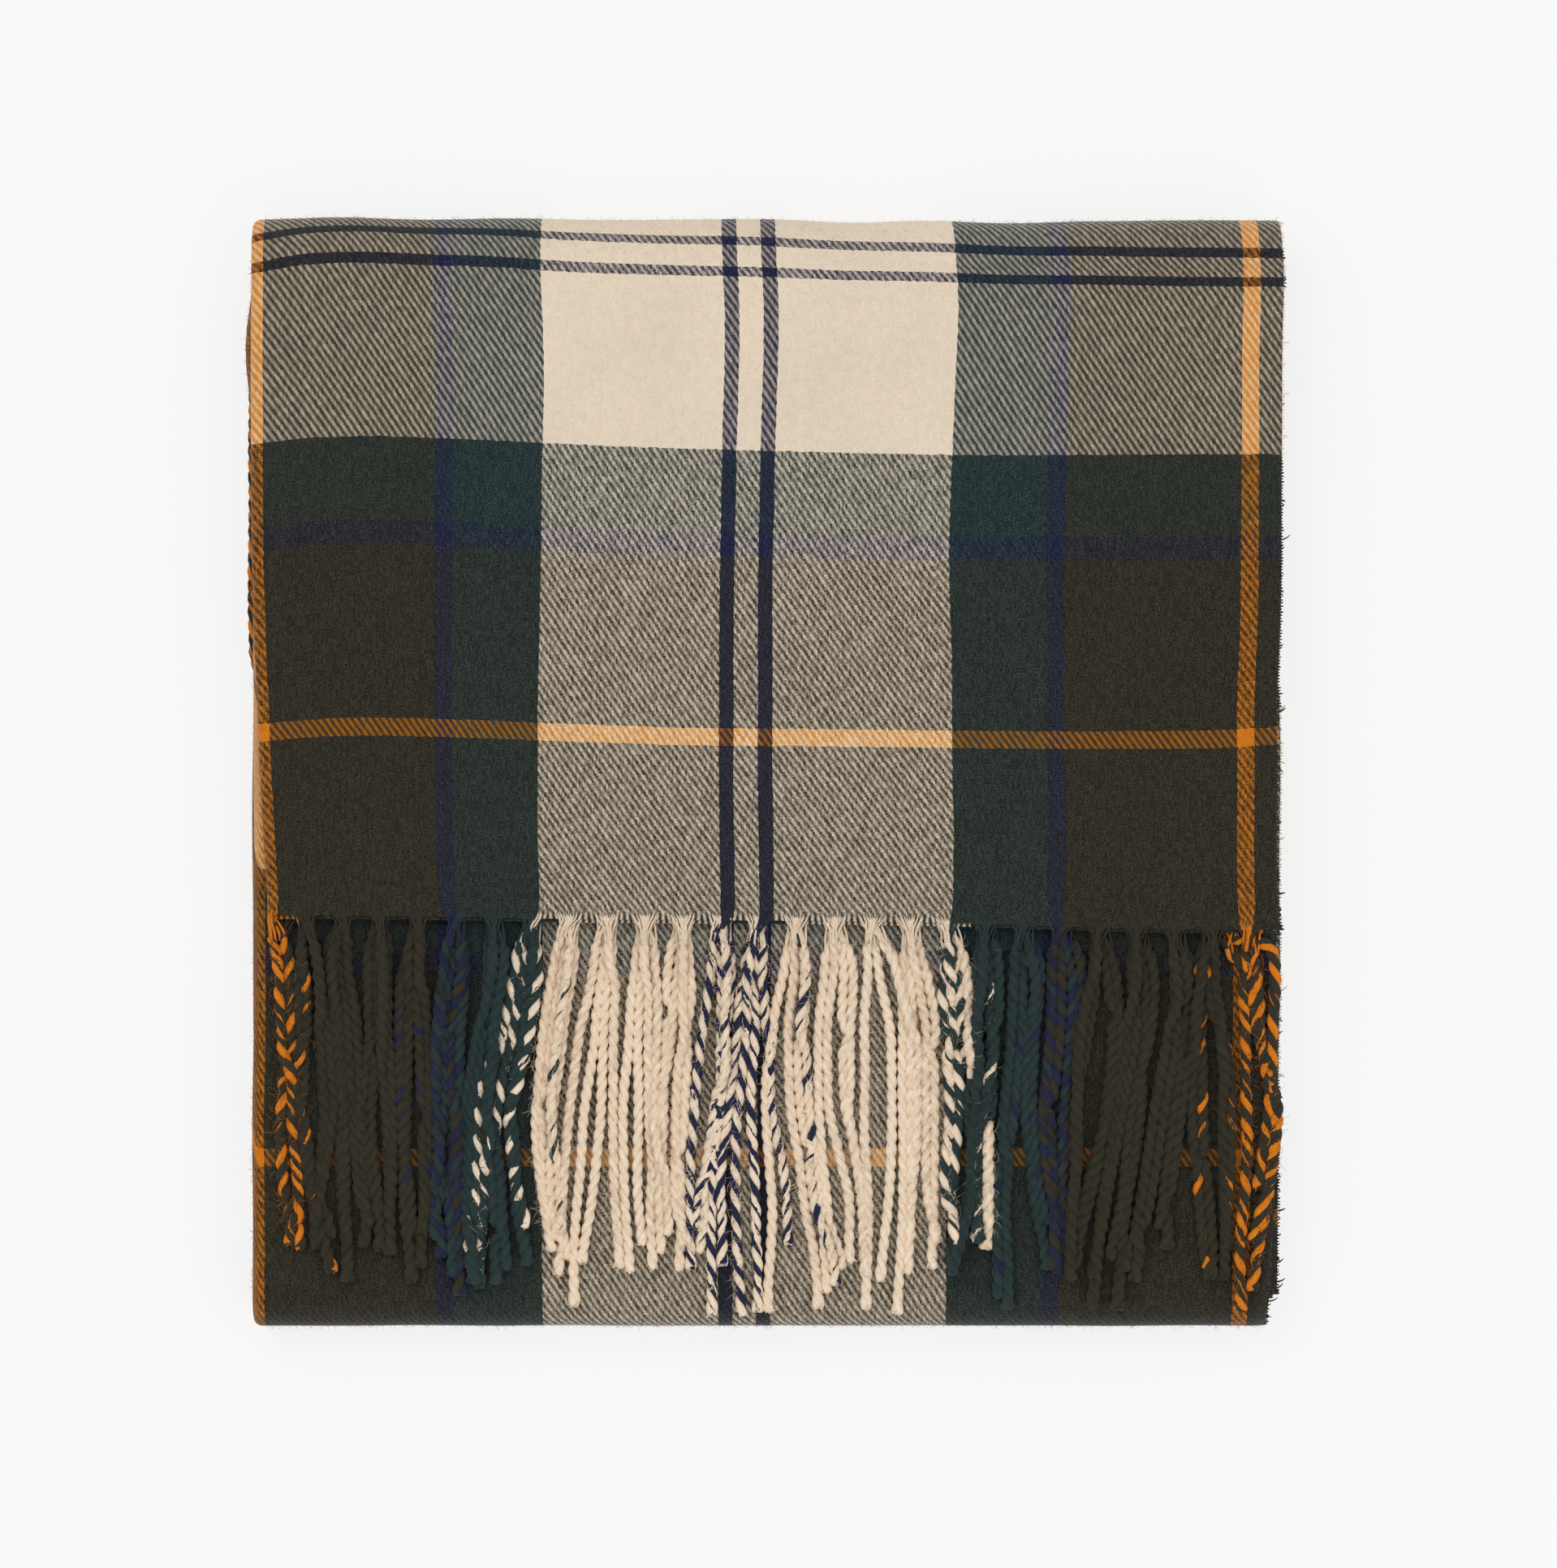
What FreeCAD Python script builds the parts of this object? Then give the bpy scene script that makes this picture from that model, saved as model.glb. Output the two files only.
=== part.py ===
import FreeCAD, Part
import Sketcher
import math
import os

# A fringed tartan throw, folded in four along its length and then in five across it.
#
# Frame: millimetres, +Z up. The origin is at the bottom centre of the folded throw. +Y points
# to the top fold, where the flap turns over the stack, and -Y to the fringe. +X points to the
# selvedges, the woven edges with cut weft ends, and -X to the long folded edge.
#
# The strip of cloth, four plies thick, runs: cut end and front fringe, flap panel, top fold,
# base panel, bottom fold, inner panel 1, inner top fold, inner panel 2, inner bottom fold,
# inner panel 3, far fringe.

SIZES = [
    ("ply_width", 350.0, "long folded edge to selvedge, on the two long plies"),
    ("second_selvedge_setback", 2.0, "how far the second selvedge lies inside the first"),
    ("centre_fold_setback", 14.0, "how far the cloth's centre fold lies inside the first selvedge"),
    ("folded_depth", 377.0, "top fold to bottom fold, outside"),
    ("cloth_thickness", 1.35, "one ply of brushed twill"),
    ("ply_gap", 0.1, "between two plies of one panel"),
    ("panel_gap", 0.4, "between two panels of the stack"),
    ("weft_end_length", 3.0, "cut weft ends past each selvedge"),
    ("fringe_length", 130.0, "one fringe cord, root to tip"),
    ("fringe_margin", 8.0, "fringe tips to the bottom fold's outside"),
    ("cord_diameter", 4.0, "a free fringe cord"),
    ("cord_clearance", 0.1, "between the two rows of fringe cords"),
    ("pressed_cord_diameter", 2.9, "a fringe cord pressed inside the stack"),
    ("far_tip_clearance", 14.0, "far fringe tips to the inner top fold's start"),
    ("long_ply_cords", 27, "fringe cords on each long ply"),
    ("short_ply_cords", 26, "fringe cords on each short ply"),
]

PLIES = 4
PANELS = 5

doc = FreeCAD.newDocument("FoldedThrow")
sheet = doc.addObject("Spreadsheet::Sheet", "Sizes")
for row, (alias, value, meaning) in enumerate(SIZES, start=1):
    sheet.set(f"A{row}", alias)
    sheet.set(f"B{row}", str(value))
    sheet.set(f"C{row}", meaning)
    sheet.setAlias(f"B{row}", alias)
doc.recompute()

# Derived sizes, as expressions in the sheet's names.
CLOTH = "Sizes.cloth_thickness"
STRIP = f"({PLIES} * {CLOTH} + {PLIES - 1} * Sizes.ply_gap)"
PANEL_STEP = f"({STRIP} + Sizes.panel_gap)"
STACK = f"({PANELS} * {STRIP} + {PANELS - 1} * Sizes.panel_gap)"
TOP_RADIUS = f"({STACK} / 2)"
TOP_INSIDE = f"({TOP_RADIUS} - {STRIP})"
BOTTOM_RADIUS = f"(({PANELS - 1} * {STRIP} + {PANELS - 2} * Sizes.panel_gap) / 2)"
BOTTOM_INSIDE = f"({BOTTOM_RADIUS} - {STRIP})"
TIGHT_INSIDE = "(Sizes.panel_gap / 2)"

LEFT = "(-(Sizes.ply_width + Sizes.weft_end_length) / 2)"
TOP_AXIS_Y = f"(Sizes.folded_depth / 2 - {TOP_RADIUS})"
BOTTOM_AXIS_Y = f"(-Sizes.folded_depth / 2 + {BOTTOM_RADIUS})"
TOP_AXIS_Z = TOP_RADIUS
BOTTOM_AXIS_Z = BOTTOM_RADIUS
INNER_TOP_AXIS_Z = f"(3 * {PANEL_STEP} - {TIGHT_INSIDE})"

PANEL_LENGTH = f"({TOP_AXIS_Y} - {BOTTOM_AXIS_Y})"
CUT_END_Y = "(-Sizes.folded_depth / 2 + Sizes.fringe_margin + Sizes.fringe_length)"
FLAP_LENGTH = f"({TOP_AXIS_Y} - {CUT_END_Y})"
FAR_PANEL_LENGTH = f"({PANEL_LENGTH} - Sizes.fringe_length - Sizes.far_tip_clearance)"
FAR_END_Y = f"({BOTTOM_AXIS_Y} + {FAR_PANEL_LENGTH})"

# Across one panel, from the long folded edge.
FOLD_X = f"({STRIP} / 2)"
CENTRE_FOLD_RADIUS = f"({CLOTH} + Sizes.ply_gap / 2)"
CENTRE_FOLD_X = f"(Sizes.ply_width - Sizes.centre_fold_setback - {CENTRE_FOLD_RADIUS})"
FIRST_SELVEDGE_X = "Sizes.ply_width"
SECOND_SELVEDGE_X = "(Sizes.ply_width - Sizes.second_selvedge_setback)"

nodes = []


def value_of(expression):
    """The number that an expression in the sheet's names stands for now."""
    result = sheet.evalExpression(expression)
    return float(getattr(result, "Value", result))


def new_body(label, axis_y, axis_z, turned=False):
    """A body on the folded edge's line at a fold's axis, turned over if it lies under that axis."""
    body = doc.addObject("PartDesign::Body", label)
    body.Label = label
    body.AllowCompound = True
    half_turn = FreeCAD.Rotation(FreeCAD.Vector(1, 0, 0), 180 if turned else 0)
    body.Placement = FreeCAD.Placement(FreeCAD.Vector(), half_turn)
    body.setExpression("Placement.Base.x", LEFT)
    body.setExpression("Placement.Base.y", axis_y)
    body.setExpression("Placement.Base.z", axis_z)
    nodes.append(body)
    return body


def section_sketch(body):
    """An empty sketch across the strip: its X is the frame's X, its Y the distance from the axis."""
    sketch = body.newObject("Sketcher::SketchObject", body.Label + "_section")
    plane = next(p for p in body.Origin.OriginFeatures if p.Role == "XZ_Plane")
    sketch.AttachmentSupport = [(plane, "")]
    sketch.MapMode = "FlatFace"
    return sketch


def fix_point(sketch, edge, point, x, y):
    """Ties one point of a sketch to two expressions, measured from the sketch's origin."""
    for kind, expression in (("DistanceX", x), ("DistanceY", y)):
        if expression is None:
            continue
        value = value_of(expression)
        number = sketch.addConstraint(Sketcher.Constraint(kind, -1, 1, edge, point, value))
        sketch.setExpression(f"Constraints[{number}]", expression)


def closed_outline(sketch, corners):
    """Draws a closed outline. Each corner is (x, y, bend): bend is None before a straight edge,
    or -1 or 1 before a half circle that bulges to -X or +X."""
    points = [FreeCAD.Vector(value_of(x), value_of(y), 0) for x, y, bend in corners]
    ends = []
    for index, (x, y, bend) in enumerate(corners):
        start = points[index]
        stop = points[(index + 1) % len(points)]
        if bend is None:
            edge = sketch.addGeometry(Part.LineSegment(start, stop))
            ends.append((edge, 1, 2))
        else:
            centre = (start + stop) / 2
            circle = Part.Circle(centre, FreeCAD.Vector(0, 0, 1), start.distanceToPoint(stop) / 2)
            first_angle = math.pi / 2 if bend < 0 else -math.pi / 2
            arc = Part.ArcOfCircle(circle, first_angle, first_angle + math.pi)
            edge = sketch.addGeometry(arc)
            begins_upper = bend < 0
            forward = (start.y > stop.y) == begins_upper
            ends.append((edge, 1, 2) if forward else (edge, 2, 1))
    for index, (x, y, bend) in enumerate(corners):
        edge, first, last = ends[index]
        following, following_first, following_last = ends[(index + 1) % len(ends)]
        sketch.addConstraint(
            Sketcher.Constraint("Coincident", edge, last, following, following_first)
        )
        fix_point(sketch, edge, first, x, y)
        if bend is not None:
            fix_point(sketch, edge, 3, x, None)


def heights(inside, ply_one_outside):
    """Gives a function from a level in the strip, counted in plies from the fourth ply's face and
    in gaps, to a distance from the fold's axis."""

    def height(plies, gaps):
        level = f"({plies} * {CLOTH} + {gaps} * Sizes.ply_gap)"
        if ply_one_outside:
            return f"({inside} + {level})"
        return f"({inside} + {STRIP} - {level})"

    return height


def cloth_section(body, inside, ply_one_outside):
    """The strip cut across: one cloth folded at its quarters, which makes the long folded edge,
    and at its centre, so plies 1 and 2 end in selvedges and plies 3 and 4 in the centre fold."""
    sketch = section_sketch(body)
    height = heights(inside, ply_one_outside)
    corners = [
        (FIRST_SELVEDGE_X, height(4, 3), None),
        (FOLD_X, height(4, 3), -1),
        (FOLD_X, height(0, 0), None),
        (CENTRE_FOLD_X, height(0, 0), 1),
        (CENTRE_FOLD_X, height(2, 1), None),
        (FOLD_X, height(2, 1), -1),
        (FOLD_X, height(2, 2), None),
        (SECOND_SELVEDGE_X, height(2, 2), None),
        (SECOND_SELVEDGE_X, height(3, 2), None),
        (FOLD_X, height(3, 2), -1),
        (FOLD_X, height(1, 1), None),
        (CENTRE_FOLD_X, height(1, 1), 1),
        (CENTRE_FOLD_X, height(1, 0), None),
        (FOLD_X, height(1, 0), -1),
        (FOLD_X, height(3, 3), None),
        (FIRST_SELVEDGE_X, height(3, 3), None),
    ]
    closed_outline(sketch, corners)
    return sketch


def weft_ends_section(body, inside, ply_one_outside):
    """The cut weft ends that stand past the two selvedges, each as thick as its ply."""
    sketch = section_sketch(body)
    height = heights(inside, ply_one_outside)
    for selvedge, plies, gaps in ((FIRST_SELVEDGE_X, 3, 3), (SECOND_SELVEDGE_X, 2, 2)):
        tips = f"({selvedge} + Sizes.weft_end_length)"
        near = height(plies, gaps)
        far = height(plies + 1, gaps)
        corners = [
            (selvedge, near, None),
            (tips, near, None),
            (tips, far, None),
            (selvedge, far, None),
        ]
        closed_outline(sketch, corners)
    return sketch


def add_panel(body, sketch, length, reversed_pad):
    """A flat stretch of the strip, which runs from the axis by its length."""
    pad = body.newObject("PartDesign::Pad", body.Label + "_run")
    pad.Profile = sketch
    pad.setExpression("Length", length)
    pad.Reversed = reversed_pad
    sketch.Visibility = False


def add_fold(body, sketch, reversed_turn):
    """A half turn of the strip about the fold's axis."""
    turn = body.newObject("PartDesign::Revolution", body.Label + "_turn")
    turn.Profile = sketch
    turn.ReferenceAxis = (sketch, ["H_Axis"])
    turn.Angle = 180
    turn.Reversed = reversed_turn
    sketch.Visibility = False


def strip_part(name, axis_y, axis_z, inside, length, turned, reversed_run, ply_one_outside=True):
    """One panel or one fold (length None), and the weft ends along its two selvedges."""
    sections = ((name, cloth_section), (name + "_weft_ends", weft_ends_section))
    for label, draw_section in sections:
        body = new_body(label, axis_y, axis_z, turned)
        sketch = draw_section(body, inside, ply_one_outside)
        if length is None:
            add_fold(body, sketch, reversed_run)
        else:
            add_panel(body, sketch, length, reversed_run)


def cord_row(name, root_y, centre_z, diameter, count, phase, towards_plus_y):
    """The twisted cords of one ply's cut end, as a row of separate straight cords."""
    body = new_body(name, root_y, "0 * Sizes.panel_gap")
    sketch = section_sketch(body)
    first_x = f"({FOLD_X} + {phase} * {CORD_PITCH})"
    centre = FreeCAD.Vector(value_of(first_x), value_of(centre_z), 0)
    upward = FreeCAD.Vector(0, 0, 1)
    circle = sketch.addGeometry(Part.Circle(centre, upward, value_of(diameter) / 2))
    fix_point(sketch, circle, 3, first_x, centre_z)
    size = sketch.addConstraint(Sketcher.Constraint("Diameter", circle, value_of(diameter)))
    sketch.setExpression(f"Constraints[{size}]", diameter)
    add_panel(body, sketch, "Sizes.fringe_length", towards_plus_y)
    cord = body.Tip
    row = body.newObject("PartDesign::LinearPattern", name + "_row")
    row.Originals = [cord]
    row.Direction = (sketch, ["H_Axis"])
    row.setExpression("Length", f"({count} - 1) * {CORD_PITCH}")
    row.setExpression("Occurrences", count)
    body.Tip = row


# The strip, from the flap's cut end to the far end inside the stack.
strip_part("flap_panel", TOP_AXIS_Y, TOP_AXIS_Z, TOP_INSIDE, FLAP_LENGTH, False, False)
strip_part("top_fold", TOP_AXIS_Y, TOP_AXIS_Z, TOP_INSIDE, None, False, True)
strip_part("base_panel", TOP_AXIS_Y, TOP_AXIS_Z, TOP_INSIDE, PANEL_LENGTH, True, True)
strip_part("bottom_fold", BOTTOM_AXIS_Y, BOTTOM_AXIS_Z, BOTTOM_INSIDE, None, False, False)
strip_part(
    "inner_panel_1", BOTTOM_AXIS_Y, BOTTOM_AXIS_Z, BOTTOM_INSIDE, PANEL_LENGTH, False, True
)
strip_part("inner_top_fold", TOP_AXIS_Y, INNER_TOP_AXIS_Z, TIGHT_INSIDE, None, False, True)
strip_part(
    "inner_panel_2", TOP_AXIS_Y, INNER_TOP_AXIS_Z, TIGHT_INSIDE, PANEL_LENGTH, True, True
)
strip_part(
    "inner_bottom_fold", BOTTOM_AXIS_Y, BOTTOM_AXIS_Z, TIGHT_INSIDE, None, False, False, False
)
strip_part(
    "inner_panel_3", BOTTOM_AXIS_Y, BOTTOM_AXIS_Z, TIGHT_INSIDE, FAR_PANEL_LENGTH, True, False,
    False,
)

# The fringe: each ply's cords stand a quarter of a pitch from the next ply's. The cords of plies
# 3 and 4 lie on the stack, and those of plies 1 and 2 lie in the hollows between them.
CORD_PITCH = f"((Sizes.ply_width - {FOLD_X}) / Sizes.long_ply_cords)"
LOWER_ROW_Z = f"({PANELS - 1} * {PANEL_STEP} + Sizes.cord_diameter / 2)"
ROW_RISE = f"sqrt(max(0; Sizes.cord_diameter ^ 2 - ({CORD_PITCH} / 4) ^ 2))"
UPPER_ROW_Z = f"({LOWER_ROW_Z} + {ROW_RISE} + Sizes.cord_clearance)"
FAR_LOWER_Z = f"({PANEL_STEP} + Sizes.pressed_cord_diameter / 2)"
FAR_UPPER_Z = f"({PANEL_STEP} + {STRIP} - Sizes.pressed_cord_diameter / 2)"

CORD_ROWS = [
    (1, "Sizes.long_ply_cords", 0.25, UPPER_ROW_Z, FAR_UPPER_Z),
    (2, "Sizes.long_ply_cords", 0.75, UPPER_ROW_Z, FAR_UPPER_Z),
    (3, "Sizes.short_ply_cords", 0.0, LOWER_ROW_Z, FAR_LOWER_Z),
    (4, "Sizes.short_ply_cords", 0.5, LOWER_ROW_Z, FAR_LOWER_Z),
]
for ply, count, phase, front_z, far_z in CORD_ROWS:
    cord_row(
        f"front_fringe_ply_{ply}", CUT_END_Y, front_z, "Sizes.cord_diameter", count, phase, False
    )
    cord_row(
        f"far_fringe_ply_{ply}", FAR_END_Y, far_z, "Sizes.pressed_cord_diameter", count, phase, True
    )

doc.recompute()

for item in doc.Objects:
    if "Invalid" in item.State or "Error" in item.State:
        raise RuntimeError(f"{item.Label} failed: {item.State}")
for node in nodes:
    if node.Shape.isNull() or not node.Shape.isValid():
        raise RuntimeError(f"{node.Label} has no valid shape")

os.makedirs("parts", exist_ok=True)
for node in nodes:
    node.Shape.exportStep(f"parts/{node.Label}.step")
    box = node.Shape.BoundBox
    print(
        f"{node.Label}: {len(node.Shape.Solids)} solids, {node.Shape.Volume:.0f} mm3, "
        f"x {box.XMin:.1f}..{box.XMax:.1f}, y {box.YMin:.1f}..{box.YMax:.1f}, "
        f"z {box.ZMin:.2f}..{box.ZMax:.2f}"
    )

FLAP_HINGE_Y = "Sizes.folded_depth / 2"
FLAP_HINGE_Z = f"(({UPPER_ROW_Z} + Sizes.cord_diameter / 2) / 2)"
print(f"flap hinge: along X at y {value_of(FLAP_HINGE_Y):.3f}, z {value_of(FLAP_HINGE_Z):.3f}")
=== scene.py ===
import math

import bpy
import numpy as np
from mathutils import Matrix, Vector


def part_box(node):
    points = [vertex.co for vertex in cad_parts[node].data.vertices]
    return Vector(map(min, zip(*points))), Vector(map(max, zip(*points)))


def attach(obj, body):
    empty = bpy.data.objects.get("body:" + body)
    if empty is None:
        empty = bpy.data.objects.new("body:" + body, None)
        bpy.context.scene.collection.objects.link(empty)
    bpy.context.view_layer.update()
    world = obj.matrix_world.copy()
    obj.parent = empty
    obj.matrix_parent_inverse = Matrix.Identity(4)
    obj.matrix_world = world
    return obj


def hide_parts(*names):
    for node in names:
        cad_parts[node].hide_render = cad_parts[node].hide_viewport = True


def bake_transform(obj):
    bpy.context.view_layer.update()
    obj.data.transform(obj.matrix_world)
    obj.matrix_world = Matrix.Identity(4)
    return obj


# A fringed tartan throw, folded in four along its length and in five across it. One cloth is
# followed along the folded strip: u runs across the cloth from one selvedge to the other, v along
# it from the flap's cut end to the far end inside the stack. Both are in millimetres, as is every
# length below unless its name says otherwise. MM turns them into Blender's metres.

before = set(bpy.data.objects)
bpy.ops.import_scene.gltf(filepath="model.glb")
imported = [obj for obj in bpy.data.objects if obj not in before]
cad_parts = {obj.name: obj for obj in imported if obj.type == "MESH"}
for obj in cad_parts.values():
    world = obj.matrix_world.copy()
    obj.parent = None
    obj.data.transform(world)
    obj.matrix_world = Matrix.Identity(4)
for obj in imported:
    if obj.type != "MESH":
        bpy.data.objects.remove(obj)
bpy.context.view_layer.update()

MM = 0.001
rng = np.random.default_rng(11)


def box_mm(node):
    """Lowest and highest corner of a CAD node, in millimetres."""
    low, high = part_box(node)
    return np.array(low) / MM, np.array(high) / MM


# ---- sizes read from the frame

flap_low, flap_high = box_mm("flap_panel")
base_low, base_high = box_mm("base_panel")
ends_low, ends_high = box_mm("base_panel_weft_ends")
run_1_low, run_1_high = box_mm("inner_panel_1")
run_2_low, run_2_high = box_mm("inner_panel_2")
run_3_low, run_3_high = box_mm("inner_panel_3")
cords_low, cords_high = box_mm("front_fringe_ply_1")
pressed_low, pressed_high = box_mm("far_fringe_ply_1")

STRIP = base_high[2] - base_low[2]
PLY_GAP = STRIP - 2 * (ends_high[2] - ends_low[2])
CLOTH = (STRIP - 3 * PLY_GAP) / 4
PLY_STEP = CLOTH + PLY_GAP
LEFT, RIGHT = base_low[0], base_high[0]
SECOND_SELVEDGE = ends_low[0]
WEFT_END = ends_high[0] - RIGHT
TOP_Y, BOTTOM_Y = flap_high[1], base_low[1]
CUT_Y, FAR_Y = flap_low[1], run_3_high[1]
CORD_LENGTH = cords_high[1] - cords_low[1]
CORD = cords_high[2] - cords_low[2]
PRESSED_CORD = pressed_high[2] - pressed_low[2]
CENTRE_FOLD_SETBACK = 14.0  # as in the CAD source: no node's box shows it
VISIBLE_CLOTH = 1.18  # the nap fills the rest of each ply's room
EDGE_CLOTH, SELVEDGE_TAPER, CUT_TAPER = 0.62, 1.5, 2.0  # its edges are thinner, by this share
FOLD_FULLNESS = 1.1  # how far the soft folds stand out past half circles

# ---- the folded strip, end to end


def run(y_from, y_to, low, high, ply_one_up):
    """A flat stretch of the strip between two heights."""
    return dict(
        length=abs(y_to - y_from), radius=0.0, y=y_from, z=(low + high) / 2,
        way=math.copysign(1.0, y_to - y_from), side=1.0 if ply_one_up else -1.0,
    )


def turn(y, low, high, start_deg, sweep_deg, ply_one_outside):
    """A half turn of the strip whose outside reaches from low to high."""
    radius = (high - low - STRIP) / 2
    return dict(
        length=math.pi * radius, radius=radius, y=y, z=(low + high) / 2,
        start=math.radians(start_deg), sweep=math.radians(sweep_deg),
        side=1.0 if ply_one_outside else -1.0,
    )


STRETCHES = [
    run(CUT_Y, TOP_Y, flap_low[2], flap_high[2], True),
    turn(TOP_Y, base_low[2], flap_high[2], 90, -180, True),
    run(TOP_Y, BOTTOM_Y, base_low[2], base_high[2], False),
    turn(BOTTOM_Y, base_low[2], run_1_high[2], 270, -180, True),
    run(BOTTOM_Y, TOP_Y, run_1_low[2], run_1_high[2], True),
    turn(TOP_Y, run_2_low[2], run_1_high[2], 90, -180, True),
    run(TOP_Y, BOTTOM_Y, run_2_low[2], run_2_high[2], False),
    turn(BOTTOM_Y, run_3_low[2], run_2_high[2], 90, 180, False),
    run(BOTTOM_Y, FAR_Y, run_3_low[2], run_3_high[2], True),
]
STARTS = np.concatenate([[0.0], np.cumsum([part["length"] for part in STRETCHES])])
FLAP_END = STARTS[2]
CLOTH_END = STARTS[-1]


def along(s):
    """The strip's middle at distance s: y, z and the unit normal towards ply one's side."""
    y, z, ny, nz = (np.zeros_like(s) for _ in range(4))
    which = np.searchsorted(STARTS[1:-1], s, side="right")
    for index, part in enumerate(STRETCHES):
        here = which == index
        t = s[here] - STARTS[index]
        if part["radius"] == 0.0:
            y[here] = part["y"] + part["way"] * t
            z[here] = part["z"]
            nz[here] = part["side"]
        else:
            angle = part["start"] + part["sweep"] * t / part["length"]
            y[here] = part["y"] + (part["radius"] + FOLD_FULLNESS) * np.cos(angle)
            z[here] = part["z"] + part["radius"] * np.sin(angle)
            ny[here] = part["side"] * np.cos(angle)
            nz[here] = part["side"] * np.sin(angle)
    return y, z, ny, nz


# Across the strip: ply 2, the inner quarter fold, ply 3, the centre fold, ply 4, the outer quarter
# fold and ply 1. Each entry is (length, x, height, radius, way).
FOLD_X = LEFT + STRIP / 2
CENTRE_FOLD_X = RIGHT - CENTRE_FOLD_SETBACK - (CLOTH + PLY_GAP / 2)
HEIGHTS = {1: 1.5 * PLY_STEP, 2: 0.5 * PLY_STEP, 3: -0.5 * PLY_STEP, 4: -1.5 * PLY_STEP}
TIGHT = PLY_STEP / 2
WIDE = 1.5 * PLY_STEP
ACROSS = [
    (SECOND_SELVEDGE - FOLD_X, SECOND_SELVEDGE, HEIGHTS[2], 0.0, -1),
    (math.pi * TIGHT, FOLD_X, 0.0, TIGHT, -1),
    (CENTRE_FOLD_X - FOLD_X, FOLD_X, HEIGHTS[3], 0.0, 1),
    (math.pi * TIGHT, CENTRE_FOLD_X, -PLY_STEP, TIGHT, 1),
    (CENTRE_FOLD_X - FOLD_X, CENTRE_FOLD_X, HEIGHTS[4], 0.0, -1),
    (math.pi * WIDE, FOLD_X, 0.0, WIDE, -1),
    (RIGHT - FOLD_X, FOLD_X, HEIGHTS[1], 0.0, 1),
]
CROSSINGS = np.concatenate([[0.0], np.cumsum([entry[0] for entry in ACROSS])])
CLOTH_WIDTH = CROSSINGS[-1]


def across(u):
    """Where the cloth's u lies in the folded strip: x and the height over the strip's middle."""
    x, height = np.zeros_like(u), np.zeros_like(u)
    which = np.searchsorted(CROSSINGS[1:-1], u, side="right")
    for index, (length, x0, h0, radius, way) in enumerate(ACROSS):
        here = which == index
        t = u[here] - CROSSINGS[index]
        if radius == 0.0:
            x[here] = x0 + way * t
            height[here] = h0
        else:
            # The outer quarter fold climbs from ply 4 to ply 1; the other two go down.
            climb = -1.0 if radius == WIDE else 1.0
            angle = math.pi * t / length
            x[here] = x0 + way * radius * np.sin(angle)
            height[here] = h0 + climb * radius * np.cos(angle)
    return x, height


# ---- how the real cloth lies

CORDS_PER_PLY = {1: 27, 2: 27, 3: 26, 4: 26}
FIRST_CORD_MARGIN = 3.9
CORD_PITCH = 12.87
GATHER_NUMBERS = np.arange(-1.0, 28.0)  # one past each end, so that the phase goes on
even_x = RIGHT - FIRST_CORD_MARGIN - CORD_PITCH * (GATHER_NUMBERS + 0.5)
gather_x = even_x[1:28]


def smooth(t):
    t = np.clip(t, 0.0, 1.0)
    return t * t * (3 - 2 * t)


def hump(t, centre, width):
    return np.exp(-(((t - centre) / width) ** 2))


def ripple(a, b, seed, length, count=5):
    """A gentle wave field of height about 1 over two coordinates, with waves near a length."""
    local = np.random.default_rng(seed)
    total = np.zeros(np.broadcast(a, b).shape)
    for _ in range(count):
        wave = 2 * math.pi / (length * local.uniform(0.7, 1.6))
        heading = local.uniform(0, 2 * math.pi)
        phase = local.uniform(0, 2 * math.pi)
        total = total + np.sin(wave * (math.cos(heading) * a + math.sin(heading) * b) + phase)
    return total / math.sqrt(count)


def from_table(x, s, columns, rows, table):
    """Reads a table between its columns and rows."""
    by_row = np.stack([np.interp(x, columns, row) for row in table])
    place = np.interp(s, rows, np.arange(len(rows)))
    low = np.clip(place.astype(int), 0, len(rows) - 2)
    t = place - low
    first = np.take_along_axis(by_row, low[None], 0)[0]
    second = np.take_along_axis(by_row, low[None] + 1, 0)[0]
    return first * (1 - t) + second * t


def eased_table(x, s, columns, rows, table, reach_x, reach_s):
    """Reads a table with its corners rounded over a reach each way."""
    steps = ((-1, 1), (0, 2), (1, 1))
    return sum(
        weight_x * weight_s * from_table(x + a * reach_x, s + b * reach_s, columns, rows, table)
        for a, weight_x in steps for b, weight_s in steps
    ) / 16


# How far the cloth has slipped towards the fringe, by distance from the left edge (columns) and
# along the cloth (rows).
SLIP_ACROSS = [0, 10, 25, 45, 80, 110, 150, 200, 250, 300, 335, 352]
SLIP_ALONG = [0, 63.8, 162, 219.8, 232, 262, 520]
SLIP = [
    [-1.4, -1.5, -1.5, -1.3, -0.9, -0.2, 0.1, 0.4, 1.3, 3.0, 3.4, 3.4],
    [1.0, -0.4, -1.5, -1.7, -0.7, 0.5, 1.85, 2.2, 2.8, 3.0, 2.6, 1.0],
    [1.2, -0.5, -1.9, -2.1, -0.8, 0.8, 2.3, 3.6, 4.6, 4.2, 4.0, 4.2],
    [-1.0, -4.4, -5.2, -5.5, -4.3, -2.6, -1.4, -0.3, 1.0, 2.0, 2.5, 2.5],
    [1.3, -1.9, -2.6, -2.9, -1.8, -0.2, 0.9, 1.9, 3.2, 4.1, 4.5, 4.5],
    [1.0, -1.4, -2.2, -2.5, -1.6, -0.2, 0.7, 1.5, 2.5, 3.3, 3.7, 3.7],
    [0.0] * 12,
]

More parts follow.
